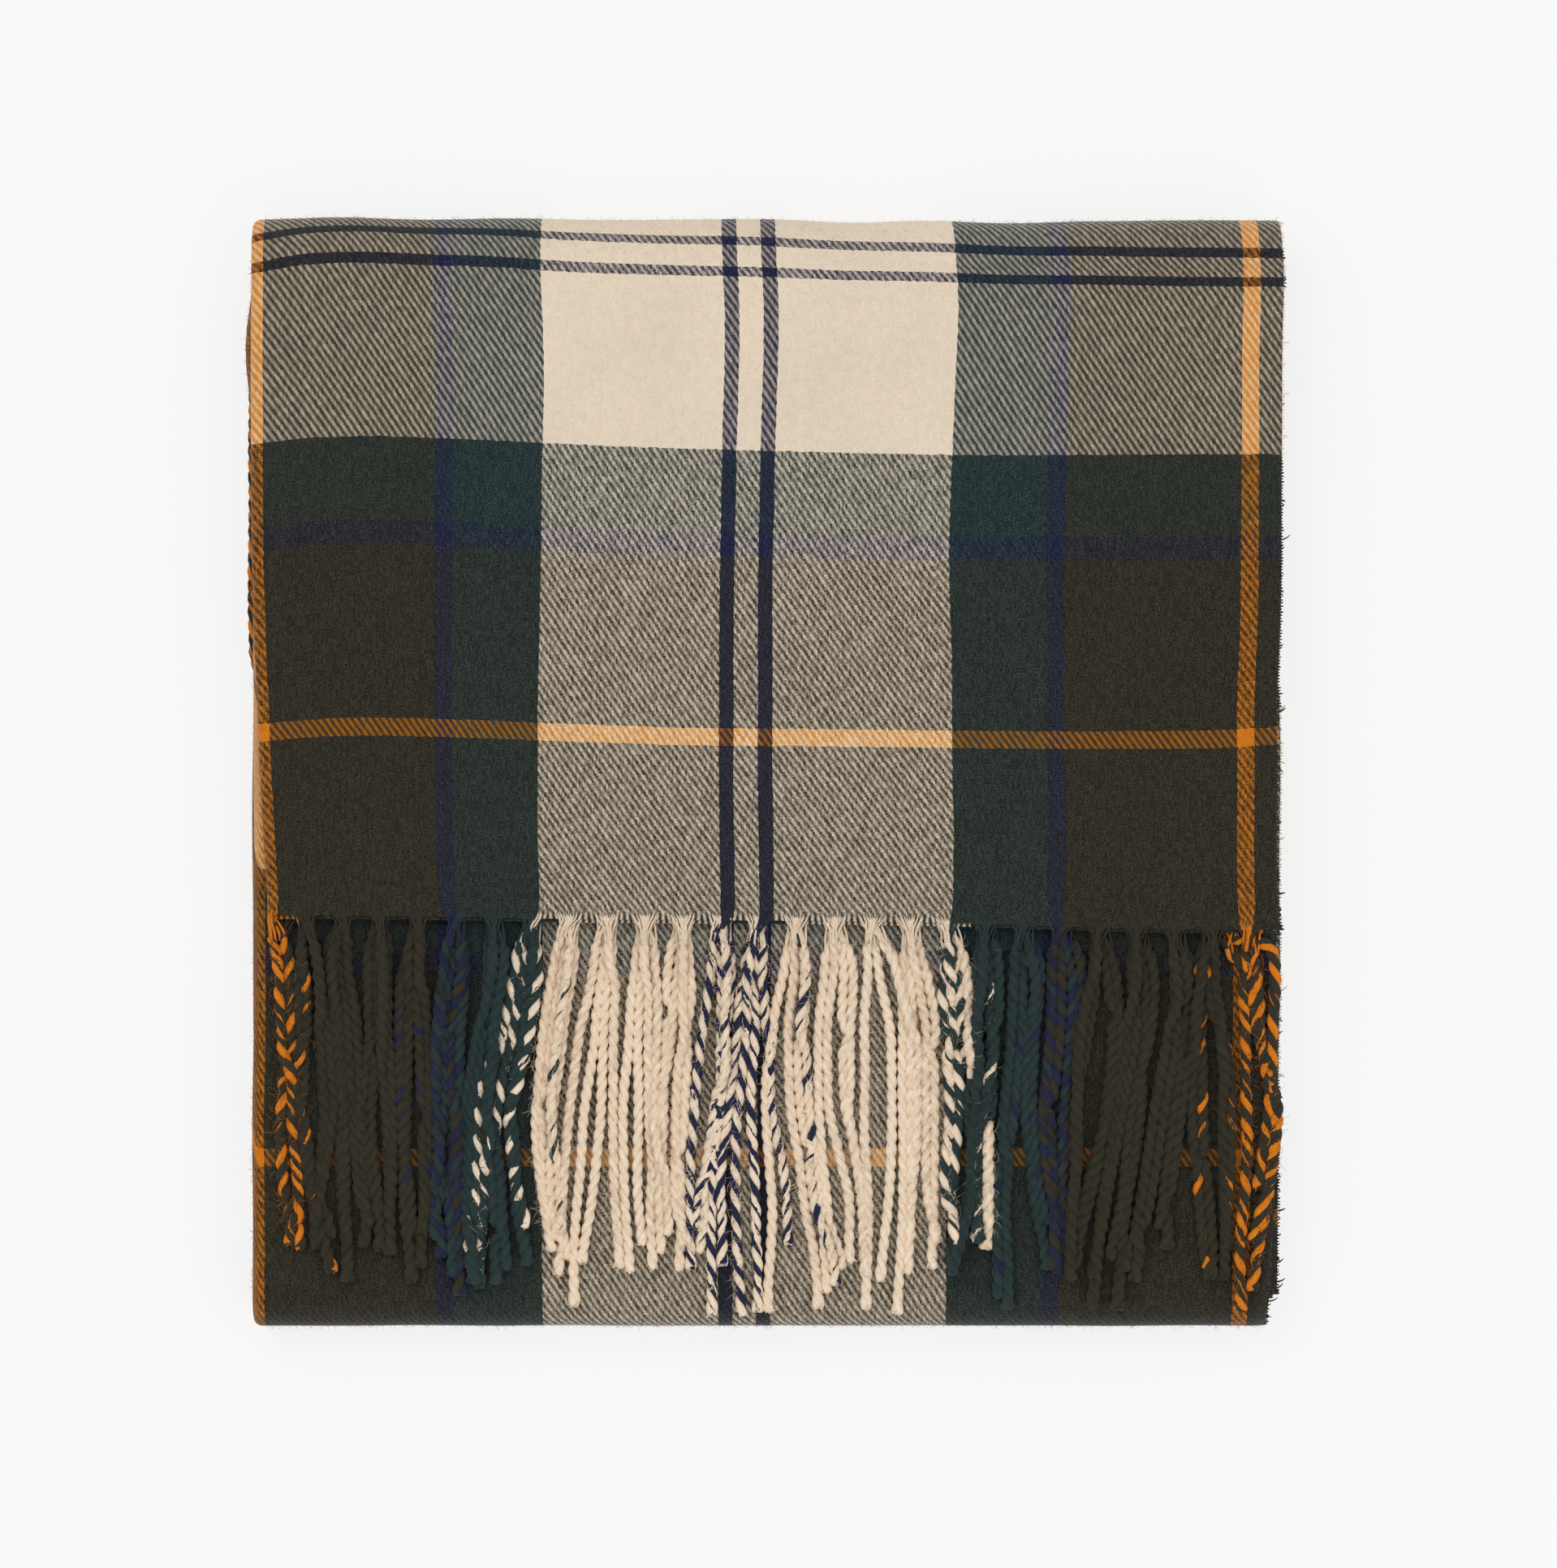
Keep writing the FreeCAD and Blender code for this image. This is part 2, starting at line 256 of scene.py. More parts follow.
# How far the warp's lines lie to the right of straight, by distance from the left edge (columns)
# and along the strip (rows). The flap narrows at its left towards the fringe.
DRIFT_ACROSS = [0, 99, 171, 238, 340]
DRIFT_ALONG = [0, 25, 54, 73, 92, 120, 148, 175, 205, 219, 240]
DRIFT = [
    [5.8, -1.4, -1.4, -1.4, -1.0], [4.1, -1.8, -2.0, -1.4, -1.4], [2.5, -2.1, -2.5, -1.9, -1.1],
    [2.1, -2.3, -2.5, -1.8, -1.2], [0.7, -1.4, -2.4, -2.1, -0.2], [-0.3, -1.1, -2.0, -2.9, 0.2],
    [-0.5, -0.3, -1.6, -2.6, 0.3], [-0.6, 0.2, -1.1, -1.2, 0.4], [-0.5, -0.3, -0.5, 0.6, 0.8],
    [-0.5, -0.9, -0.6, 0.6, 1.3], [-0.6, -1.0, -1.9, -1.9, -0.8],
]
STRAIGHT = [0.0] * 5
RUN_1_DRIFT = [-0.4, -0.5, -2.9, -3.9, -2.5]
DRIFT_ALONG += [STARTS[2] + 20, STARTS[3], STARTS[5], STARTS[6], CLOTH_END]
DRIFT += [STRAIGHT, RUN_1_DRIFT, RUN_1_DRIFT, STRAIGHT, STRAIGHT]
BASE_SLACK = 11.8  # extra cloth that the base panel takes up in its hidden waves
STRETCH_OFFSETS = [0.0, 0.0, -0.5, 0.0, 0.4, 0.3, -0.8, -0.4, 0.8]  # each stretch, to the right
EDGE_WANDER = 0.22
LAYER_BULGE = 2.6
CORNER_TUCK = 2.4
THICKNESS_WAVE = 0.018
EDGE_LOFT = 0.035
CUT_REACH = 3.0  # how far into the cloth the gathers pull, falling off
CUT_ARCH = 0.35
GATHER_PULL = 1.9
LOWER_PLY_REACH = 1.2  # how much further each ply beneath the top one comes
PLY_WAVE = 0.09
FOLD_SAG = 1.3
FOLD_WAVE = 0.35


def slide(x, v):
    """How far the cloth's point has slipped towards the fringe."""
    return eased_table(x - LEFT, v, SLIP_ACROSS, SLIP_ALONG, SLIP, 9.0, 5.0)


def sideways(x, s):
    """How far the cloth lies to the side of its straight place, for each run of the strip."""
    reach = (x - LEFT) / (RIGHT - LEFT)
    shift = eased_table(x - LEFT, s, DRIFT_ACROSS, DRIFT_ALONG, DRIFT, 8.0, 10.0)
    knots = STARTS[:-1] + np.array([part["length"] for part in STRETCHES]) / 2
    shift = shift + np.interp(s, knots, STRETCH_OFFSETS)
    shift = shift + EDGE_WANDER * ripple(s, x * 0.25, 3, 60)
    # One inner layer bulges out at the folded edge, and the front selvedge corner turns in.
    bulge = hump(s, STARTS[5] - 28, 17) * (1 - smooth(reach / 0.06))
    corner = hump(s, (STARTS[3] + STARTS[4]) / 2, 14) * smooth((reach - 0.96) / 0.05)
    return shift - LAYER_BULGE * bulge - CORNER_TUCK * corner


def pillow(x, y):
    """How thick the stack lies here, as a share of its flat height."""
    edge = smooth((x - LEFT) / 40) * smooth((RIGHT - x) / 30)
    return 1 + THICKNESS_WAVE * ripple(x, y, 8, 130) - EDGE_LOFT * edge


straight_x = even_x - sideways(even_x, 0 * even_x)


def gather(x):
    """The phase of the cut end's gathers into cords: zero at a cord, half a turn between two."""
    return -2 * math.pi * np.interp(-x, -straight_x, GATHER_NUMBERS)


def cloth_point(u, v):
    """Where the cloth's point (u, v) lies in the folded throw."""
    x, height = across(u)
    phase = gather(x)
    near_cut = np.exp(-np.clip(v, 0, None) / CUT_REACH)
    beneath = np.clip((HEIGHTS[1] - height) / PLY_STEP, 0, 1) * smooth(1 - v / 30)
    s = v - slide(x, v) - CUT_ARCH * np.cos(phase) * near_cut - LOWER_PLY_REACH * beneath
    y, z, ny, nz = along(s)
    height = height + PLY_WAVE * ripple(u, v, 21, 38)
    y = y + ny * height
    z = z + nz * height
    top_fold = hump(s, (STARTS[1] + STARTS[2]) / 2, 24)
    sag = FOLD_SAG * hump(x, 75, 110) * top_fold
    y = y - sag - FOLD_WAVE * ripple(x, 0 * x, 13, 60) * top_fold
    x = x + sideways(x, s) - GATHER_PULL * np.sin(phase) * near_cut
    z = z * pillow(x, y)
    return np.stack([x, y, z], axis=-1)


def cords_of_ply(ply):
    """The cloth's u at each gather of one ply, from the selvedges' side."""
    x = straight_x[1 : 1 + CORDS_PER_PLY[ply]]
    return {
        1: CLOTH_WIDTH - (RIGHT - x),
        2: SECOND_SELVEDGE - x,
        3: CROSSINGS[2] + (x - FOLD_X),
        4: CROSSINGS[4] + (CENTRE_FOLD_X - x),
    }[ply]


def cloth_marks(u, v):
    """The cloth coordinate that carries the sett. Each ply takes its own way round the crosswise
    folds, longer on the outside, and the hidden base panel takes up some slack."""
    height = across(u)[1]
    along_ply = v + BASE_SLACK * smooth((v - STARTS[2]) / (STARTS[3] - STARTS[2]))
    for start, part in zip(STARTS, STRETCHES):
        if part["radius"]:
            turned = math.pi * np.clip((v - start) / part["length"], 0, 1)
            along_ply = along_ply + part["side"] * height * turned
    return np.stack(np.broadcast_arrays(u, along_ply, 0.0 * u), axis=-1)


# ---- mesh helpers


def mesh_piece(name, points, faces, attributes):
    """A mesh object from points in millimetres, a list of face index arrays, and named vectors."""
    points[:, 2] = np.maximum(points[:, 2], 0.0)  # nothing sinks into the floor
    mesh = bpy.data.meshes.new(name)
    sizes = np.concatenate([np.full(len(f), f.shape[1], np.int32) for f in faces])
    corners = np.concatenate([f.reshape(-1) for f in faces]).astype(np.int32)
    mesh.vertices.add(len(points))
    mesh.vertices.foreach_set("co", (points * MM).astype(np.float32).ravel())
    mesh.loops.add(len(corners))
    mesh.loops.foreach_set("vertex_index", corners)
    mesh.polygons.add(len(sizes))
    mesh.polygons.foreach_set("loop_start", (np.cumsum(sizes) - sizes).astype(np.int32))
    mesh.polygons.foreach_set("use_smooth", np.ones(len(sizes), bool))
    for label, values in attributes.items():
        layer = mesh.attributes.new(label, "FLOAT_VECTOR", "POINT")
        layer.data.foreach_set("vector", values.astype(np.float32).ravel())
    mesh.update(calc_edges=True)
    mesh.validate()
    piece = bpy.data.objects.new(name, mesh)
    bpy.context.scene.collection.objects.link(piece)
    return piece


def unit(vectors):
    return vectors / np.maximum(np.linalg.norm(vectors, axis=-1, keepdims=True), 1e-9)


def cloth_piece(name, u_values, v_values):
    """A closed sheet of cloth over a grid of u and v, with its real thickness."""
    nu, nv = len(u_values), len(v_values)
    u, v = (grid.ravel() for grid in np.meshgrid(u_values, v_values, indexing="ij"))
    middle = cloth_point(u, v).reshape(nu, nv, 3)
    normal = unit(np.cross(np.gradient(middle, axis=0), np.gradient(middle, axis=1)))
    inset_u = np.minimum(u_values - u_values[0], u_values[-1] - u_values)[:, None]
    share = smooth(inset_u / SELVEDGE_TAPER)
    if v_values[0] == 0.0:
        share = share * smooth(v_values / CUT_TAPER)[None, :]
    half = 0.5 * VISIBLE_CLOTH * (EDGE_CLOTH + (1 - EDGE_CLOTH) * share)[..., None]
    front, back = middle + normal * half, middle - normal * half
    count = nu * nv
    index = np.arange(count).reshape(nu, nv)
    quads = np.stack(
        [index[:-1, :-1], index[1:, :-1], index[1:, 1:], index[:-1, 1:]], axis=-1
    ).reshape(-1, 4)
    rim = np.concatenate(
        [index[:, 0], index[-1, 1:], index[-2::-1, -1], index[0, -2:0:-1]]
    )
    following = np.roll(rim, -1)
    rim_quads = np.stack([rim, rim + count, following + count, following], axis=-1)
    cloth = cloth_marks(u, v)
    return mesh_piece(
        name,
        np.concatenate([front.reshape(-1, 3), back.reshape(-1, 3)]),
        [np.concatenate([quads, quads[:, ::-1] + count, rim_quads])],
        {"cloth": np.concatenate([cloth, cloth])},
    )


def sides_of(ahead, lean=0.0):
    """Two directions square to each way ahead: one level, one upward."""
    side = unit(np.cross(ahead, np.array([0.0, 0.0, 1.0]) + lean * ahead[..., ::-1]))
    return side, np.cross(side, ahead)


def circle(angle, side, upward):
    return np.cos(angle)[..., None] * side + np.sin(angle)[..., None] * upward


def ring_angles(sides):
    return 2 * math.pi * np.arange(sides) / sides


def tube_rings(paths, radii, sides):
    """Rings of points round many paths at once: (tubes, steps, sides, 3)."""
    side, upward = sides_of(unit(np.gradient(paths, axis=1)), 0.02)
    ring = circle(ring_angles(sides), side[:, :, None, :], upward[:, :, None, :])
    return paths[:, :, None, :] + radii[:, :, None, None] * ring


def tube_faces(tubes, steps, sides):
    """Faces of many closed tubes: the walls, and a cap at each end."""
    index = np.arange(tubes * steps * sides).reshape(tubes, steps, sides)
    ahead = np.roll(index, -1, axis=2)
    walls = np.stack(
        [index[:, :-1], ahead[:, :-1], ahead[:, 1:], index[:, 1:]], axis=-1
    ).reshape(-1, 4)
    return [walls[:, ::-1], index[:, 0], index[:, -1, ::-1]]


def yarns_piece(name, paths, radii, sides, cloth, fibre_scale=None):
    """Many thin tubes as one piece, each with one cloth coordinate along its whole length."""
    points = tube_rings(paths, radii, sides).reshape(-1, 3)
    attributes = {"cloth": np.repeat(cloth, paths.shape[1] * sides, axis=0)}
    if fibre_scale is not None:
        attributes["fibre"] = points * np.array(fibre_scale)
    return mesh_piece(name, points, tube_faces(*paths.shape[:2], sides), attributes)


# ---- the sett and the materials

# Colours as they are seen, from 0 to 1. A Gamma node turns them into light.
CREAM = (0.885, 0.815, 0.728)
OLIVE = (0.182, 0.170, 0.132)
GREEN = (0.143, 0.198, 0.200)
NAVY = (0.122, 0.138, 0.232)
ORANGE = (0.790, 0.452, 0.098)
WARMER = (0.99, 0.96, 0.925)  # what the warmest strands multiply their colour by
SEEN_TO_LIGHT = 2.2

# The stripes of each repeat, from the middle of the orange: where each ends, and its colour. The
# warp is counted back from the selvedge, so its repeat runs against u.
WARP_SETT = [
    (2.9, ORANGE), (61.2, OLIVE), (67.4, NAVY), (97.9, GREEN), (159.9, CREAM),
    (164.9, NAVY), (173.1, CREAM), (178.1, NAVY), (238.6, CREAM), (270.6, GREEN),
    (276.8, NAVY), (335.1, OLIVE), (338.0, ORANGE),
]
WEFT_SETT = [
    (3.0, ORANGE), (61.9, OLIVE), (70.2, NAVY), (98.3, GREEN), (154.1, CREAM),
    (157.7, NAVY), (165.9, CREAM), (169.5, NAVY), (225.3, CREAM), (253.4, GREEN),
    (261.7, NAVY), (320.6, OLIVE), (323.6, ORANGE),
]
WARP_ORANGE_U = CLOTH_WIDTH - 10.6
WEFT_ORANGE_V = 64.4
END_PITCH = 0.625
PICK_PITCH = 0.875
CUT_BAND = 4.0  # how far in from the cut end the weft starts to show


class Nodes:
    """Short calls for building one material's node tree."""

    def __init__(self, name):
        self.material = bpy.data.materials.new(name)
        self.material.use_nodes = True
        self.tree = self.material.node_tree
        self.shader = self.tree.nodes["Principled BSDF"]

    def add(self, kind, inputs=(), **settings):
        node = self.tree.nodes.new("ShaderNode" + kind)
        for key, value in settings.items():
            setattr(node, key, value)
        for socket, value in inputs:
            self.feed(node.inputs[socket], value)
        return node

    def feed(self, socket, value):
        if isinstance(value, bpy.types.NodeSocket):
            self.tree.links.new(value, socket)
        else:
            socket.default_value = value

    def maths(self, operation, a, b=0.0, c=0.0):
        node = self.add("Math", [(0, a), (1, b), (2, c)], operation=operation)
        return node.outputs[0]

    def times(self, a, b):
        return self.maths("MULTIPLY", a, b)

    def plus(self, base, value, factor):
        """The base and a share of the value."""
        return self.maths("MULTIPLY_ADD", value, factor, base)

    def attribute(self, name):
        return self.add("Attribute", attribute_name=name).outputs["Vector"]

    def split(self, vector):
        return self.add("SeparateXYZ", [(0, vector)]).outputs

    def noise(self, vector, scale, detail=2.0, roughness=0.5):
        node = self.add(
            "TexNoise",
            [("Vector", vector), ("Scale", scale), ("Detail", detail), ("Roughness", roughness)],
        )
        return node.outputs["Fac"]

    def swing(self, *settings):
        """Noise that goes both ways from zero."""
        return self.maths("SUBTRACT", self.noise(*settings), 0.5)

    def luck(self, dimensions, **inputs):
        """A number from 0 to 1 that depends only on the input."""
        node = self.add("TexWhiteNoise", inputs.items(), noise_dimensions=dimensions)
        return node.outputs["Value"]

    def stripes(self, place, sett, origin):
        """The colour of the stripe at a place along one of the cloth's two directions."""
        period = sett[-1][0]
        turns = self.maths("DIVIDE", self.maths("SUBTRACT", place, origin), period)
        place = self.times(self.maths("FRACT", turns), period)
        colour = (*sett[0][1], 1)
        for (end, _), (_, following) in zip(sett, sett[1:]):
            colour = self.mix(self.maths("GREATER_THAN", place, end), colour, (*following, 1))
        return colour

    def mix(self, factor, a, b):
        node = self.add(
            "Mix", [("Factor", factor), (6, a), (7, b)], data_type="RGBA"
        )
        return node.outputs[2]

    def vector_maths(self, operation, inputs):
        return self.add("VectorMath", inputs, operation=operation).outputs[0]

    def scaled(self, colour, factor):
        return self.vector_maths("SCALE", [(0, colour), ("Scale", factor)])

    def lifted(self, colour, amount):
        """A colour with an amount added to each of its parts."""
        grey = self.add("CombineXYZ", [(part, amount) for part in range(3)])
        return self.vector_maths("ADD", [(0, colour), (1, grey.outputs[0])])

    def surface(self, **values):
        """Sets the shader's inputs. Their names are written with _ for each space."""
        for name, value in values.items():
            self.feed(self.shader.inputs[name.replace("_", " ")], value)
        return self.material

    def wool(self, seen_colour, height, depth, roughness, sheen):
        """Wires a seen colour, a bump height and a roughness to the wool's shader."""
        light = self.add("Gamma", [(0, seen_colour), (1, SEEN_TO_LIGHT)])
        bump = self.add(
            "Bump", [("Height", height), ("Strength", 1.0), ("Distance", depth)]
        )
        return self.surface(
            Base_Color=light.outputs[0], Normal=bump.outputs[0], Roughness=roughness,
            Specular_IOR_Level=0.15, Sheen_Weight=sheen, Sheen_Roughness=0.45,
        )


def tartan_material():
    """Brushed 2/2 twill: each warp end passes over two picks and under two, one pick further
    on than its neighbour, so that warp and weft colours mix along steep diagonal lines."""
    n = Nodes("tartan_twill")
    cloth = n.attribute("cloth")
    u, v, _ = n.split(cloth)
    wander = n.swing(cloth, 0.5, 3.0)
    grain = n.swing(cloth, 1.7, 2.0, 0.75)
    nap = n.swing(cloth, 0.3, 4.0, 0.6)
    patches = n.swing(cloth, 0.03)
    warp = n.stripes(n.plus(u, wander, 1.0), WARP_SETT, WARP_ORANGE_U)
    weft_place = n.maths("MAXIMUM", n.plus(v, wander, 1.2), CUT_BAND)
    weft = n.stripes(weft_place, WEFT_SETT, WEFT_ORANGE_V)
    end = n.maths("DIVIDE", n.plus(u, wander, 0.35), END_PITCH)
    pick = n.maths("DIVIDE", n.plus(v, wander, 0.6), PICK_PITCH)
    end_number, pick_number = n.maths("FLOOR", end), n.maths("FLOOR", pick)
    step = n.maths("FRACT", n.times(n.maths("ADD", end_number, pick_number), 0.25))
    warp_up = n.maths("LESS_THAN", step, 0.49)
    lines = n.maths("MULTIPLY_ADD", n.maths("ADD", end, pick), 0.25, -0.375)
    wave = n.maths("COSINE", n.times(lines, 2 * math.pi))
    pick_pair = n.maths("FLOOR", n.times(pick, 0.5))
    cell = n.add("CombineXYZ", [(0, end_number), (1, pick_pair)])
    luck = n.maths("SUBTRACT", n.luck("2D", Vector=cell.outputs[0]), 0.5)
    share = n.plus(0.50, wave, 0.22)
    for part, factor in ((warp_up, 0.14), (luck, 0.30), (grain, 0.9)):
        share = n.plus(share, part, factor)
    # At the cut end the last picks are hidden: only the warp ends show, as a comb.
    edge = n.add(
        "MapRange", [("Value", v), ("From Min", 0.5), ("From Max", CUT_BAND)],
        interpolation_type="SMOOTHSTEP",
    ).outputs[0]
    comb = n.maths("COSINE", n.times(u, math.pi / END_PITCH))
    comb = n.maths("MULTIPLY_ADD", comb, 0.55, 0.55)
    comb = n.times(comb, n.maths("SUBTRACT", 1.0, edge))
    colour = n.mix(n.plus(comb, share, edge), weft, warp)
    # Where warp and weft differ in colour, the mix is darkened by the square of their difference.
    # This is partly painted shade between the yarns and partly the darker look of a fine mix of
    # light and dark yarns. The nap and the patches then vary the tone at random.
    contrast = n.maths("SUBTRACT", n.split(warp)[0], n.split(weft)[0])
    shade = n.plus(1.0, n.times(contrast, contrast), -0.215)
    shade = n.plus(n.plus(shade, nap, 0.09), patches, 0.07)
    colour = n.scaled(colour, shade)
    paleness = n.plus(0.52, n.split(colour)[0], -0.40)
    colour = n.lifted(colour, n.times(n.plus(grain, luck, 0.12), paleness))
    height = n.plus(n.times(grain, 0.9), wave, 0.28)
    height = n.plus(height, luck, 0.25)
    roughness = n.plus(0.86, nap, 0.3)
    return n.wool(colour, height, 0.0003, roughness, 0.2)


def weft_ends_material():
    """Loose ends of the weft yarns, in the weft's own stripes."""
    n = Nodes("weft_yarn")
    cloth = n.attribute("cloth")
    colour = n.stripes(n.split(cloth)[1], WEFT_SETT, WEFT_ORANGE_V)
    fuzz = n.noise(cloth, 1.8, 2.0, 0.7)
    colour = n.scaled(colour, n.plus(0.82, fuzz, 0.35))
    return n.wool(colour, fuzz, 0.0001, n.plus(0.8, fuzz, 0.15), 0.12)


def cord_material():
    """Twisted warp yarns: stripes of the warp wound round each strand, with fine fibres."""
    n = Nodes("twisted_warp")
    fibre = n.attribute("fibre")
    u, _, strand = n.split(n.attribute("cloth"))
    streaks = n.noise(fibre, 2.2, 3.0, 0.65)
    fine = n.noise(fibre, 6.0, 2.0, 0.6)
    place = n.plus(u, n.maths("SUBTRACT", streaks, 0.5), 4.2)
    place = n.plus(place, n.swing(fibre, 0.45, 1.0), 5.0)
    colour = n.stripes(place, WARP_SETT, WARP_ORANGE_U)
    shade = n.times(n.plus(0.86, streaks, 0.40), n.plus(0.88, fine, 0.24))
    colour = n.scaled(colour, shade)
    warmed = n.vector_maths("MULTIPLY", [(0, colour), (1, WARMER)])
    colour = n.mix(n.luck("1D", W=strand), colour, warmed)
    paleness = n.plus(0.032, n.split(colour)[0], -0.032)
    colour = n.lifted(colour, n.times(paleness, n.plus(-0.1, fine, 2.0)))
    height = n.plus(streaks, fine, 0.5)
    return n.wool(colour, height, 0.0003, n.plus(0.76, streaks, 0.2), 0.08)


# ---- cloth and its selvedges


def spaced(starts, steps):
    """Evenly spaced values between each start and the next, near the step given for each."""
    parts = [
        np.linspace(start, stop, max(2, int(round((stop - start) / step)) + 1))[:-1]
        for start, stop, step in zip(starts, starts[1:], steps)
    ]
    return np.concatenate(parts + [starts[-1:]])


def across_samples(step, fold_steps):
    return spaced(CROSSINGS, [step if part[3] == 0.0 else part[0] / fold_steps for part in ACROSS])


def along_samples(first, last, step, turn_step):
    steps = [step if part["radius"] == 0.0 else turn_step for part in STRETCHES[first:last]]
    return spaced(STARTS[first : last + 1], steps)


WEFT_END_STEP = 1.06
STRAY_SHARE = 0.05  # of the weft ends, those that stick out


def weft_ends_piece(name, v_from, v_to):
    """The cut ends of the weft yarns past both selvedges: a row of short tapering yarns."""
    v = np.arange(v_from + WEFT_END_STEP / 2, v_to, WEFT_END_STEP)
    paths, thick, marks = [], [], []
    for edge, inward in ((0.0, 1.0), (CLOTH_WIDTH, -1.0)):
        u_edge = np.full_like(v, edge)
        root = cloth_point(u_edge, v)
        inner = cloth_point(u_edge + 1.5 * inward, v)
        outward = unit(root - inner)
        ahead = unit(cloth_point(u_edge, v + 1.0) - root)
        normal = np.cross(outward, ahead)
        stray = rng.uniform(0, 1, (len(v), 1)) < STRAY_SHARE
        length = WEFT_END * rng.uniform(0.1, 0.32, (len(v), 1)) * np.where(stray, 3.2, 1.0)
        tilt = rng.normal(0, 0.45, (len(v), 1))
        lift = rng.normal(0, 0.16, (len(v), 1))
        bow = tilt * ahead + lift * normal
        steps = [
            root + length * (share * outward + share * abs(share) * bow)
            for share in (-0.2, 0.25, 0.65, 1.0)
        ]
        paths.append(np.stack(steps, axis=1))
        size = rng.uniform(0.26, 0.42, (len(v), 1))
        thick.append(size * np.array([[1.0, 1.0, 0.8, 0.35]]))
        marks.append(cloth_marks(u_edge, v))
    return yarns_piece(name, *map(np.concatenate, (paths, thick)), 5, np.concatenate(marks))


FIBRE_TAPER = np.array([[1.0, 0.9, 0.5]])


def nap_piece(name, patches):
    """Fine fibres of the brushed face along folds, where they show against what lies behind.
    Each patch is (fibres, u from, u to, v from, v to)."""
    nap_rng = np.random.default_rng(len(name))
    u = np.concatenate([nap_rng.uniform(u_from, u_to, n) for n, u_from, u_to, _, _ in patches])
    v = np.concatenate([nap_rng.uniform(v_from, v_to, n) for n, _, _, v_from, v_to in patches])
    middle = cloth_point(u, v)
    beside = cloth_point(u + 0.4, v) - middle
    ahead = cloth_point(u, v + 0.4) - middle
    outward = unit(np.cross(beside, ahead))
    slant = nap_rng.normal(0, 0.8, (len(u), 3))
    length = nap_rng.uniform(0.6, 2.3, (len(u), 1))
    root = middle + 0.42 * outward
    bend = root + 0.5 * length * unit(outward + 0.5 * slant)
    tip = root + length * unit(0.7 * outward + slant)
    sizes = nap_rng.uniform(0.035, 0.06, (len(u), 1)) * FIBRE_TAPER
    return yarns_piece(name, np.stack([root, bend, tip], axis=1), sizes, 3, cloth_marks(u, v))


# ---- the fringe

STRAND_TWIST = 9.2
STRAND_OFFSET, STRAND_RADIUS = 0.19, 0.33  # shares of the cord's width
YARN_TURNING = 0.25  # how far, in radians for each mm, the yarns turn round their strand
ROOT_LENGTH = 7.0
CORD_STEP = 3.0
CORD_POINTS = int(CORD_LENGTH / CORD_STEP) + 1
VISIBLE_CORD = 0.94 * CORD
FRINGE_FLOOR = run_1_high[2] * 0.985  # the settled top of the layer beneath the fringe

# How the cords of the two upper plies lie, one row for each from the selvedge's side: how far
# right of its gather the cord is at each of PATH_STOPS and at its tip, in tenths of a millimetre,
# then how far down its tip is. The lower plies lie under them unless a row says otherwise.
PATH_STOPS = [15, 35, 65, 95]
PATHS = {
    1: [
        (-18, -22, -6, -22, -38, 129), (-10, 30, 51, 50, 43, 118), (9, 5, -64, -97, -145, 120),
        (4, -12, -57, -110, -146, 128), (-18, -50, -79, -83, -100, 118),
        (-15, -30, -47, -30, -15, 116), (-16, -28, -60, -69, -69, 130),
        (-8, -32, -32, -53, -110, 118), (0, 18, 21, 7, 24, 109), (14, 67, 83, 75, 83, 117),
        (-7, -28, -28, -11, -24, 130), (-9, -41, -25, 56, 48, 115), (2, -30, -18, 35, 84, 131),
        (-37, -45, -69, -81, -57, 133), (-33, -54, -90, -108, -114, 118), (6, 6, -12, -12, 0, 118),
        (-7, 9, 21, 29, 33, 117), (7, 15, 24, 32, 52, 117), (-38, -67, -99, -95, -65, 113),
        (-19, -59, -120, -169, -185, 127), (5, -24, -97, -100, -65, 124),
        (-21, -58, -58, -66, -58, 116), (0, 19, 30, 23, 0, 118), (5, 13, 30, 35, 30, 113),
        (0, 36, 53, 77, 77, 112), (47, 67, 75, 51, 50, 113), (42, 50, 95, 107, 79, 112),
    ],
    2: [
        (20, 31, 88, 55, 2, 121), (-46, -54, -54, -22, -6, 118), (50, 54, 9, -24, -32, 107),
        (40, 40, 8, -32, -65, 127), (55, 63, 35, -34, -100, 115), (54, 46, 10, 0, 5, 115),
        (49, 32, 8, 45, 85, 115), (28, 28, -2, -28, -20, 106), (52, 64, 120, 140, 120, 112),
        (54, 79, 45, 67, 90, 108), (78, 135, 163, 130, 130, 108), (56, 36, 48, 88, 110, 120),
        (35, 15, 31, 71, 136, 124), (0, 32, 49, 100, 110, 108), (28, 25, -13, -54, -78, 111),
        (-23, -50, -84, -88, -75, 111), (33, 45, 41, 54, 70, 106),
        (-37, -90, -131, -151, -155, 106), (0, -30, -62, -46, -22, 119),
        (10, -19, -71, -55, -10, 116), (25, 9, -24, 9, 17, 124), (28, -17, 0, -5, 0, 127),
        (-38, -46, -46, -50, -18, 122), (-30, -20, -40, -10, 10, 112), (-40, -20, -4, 4, 20, 122),
        (-14, -5, -22, 19, 90, 121), (83, 90, 50, 50, 110, 113),
    ],
}
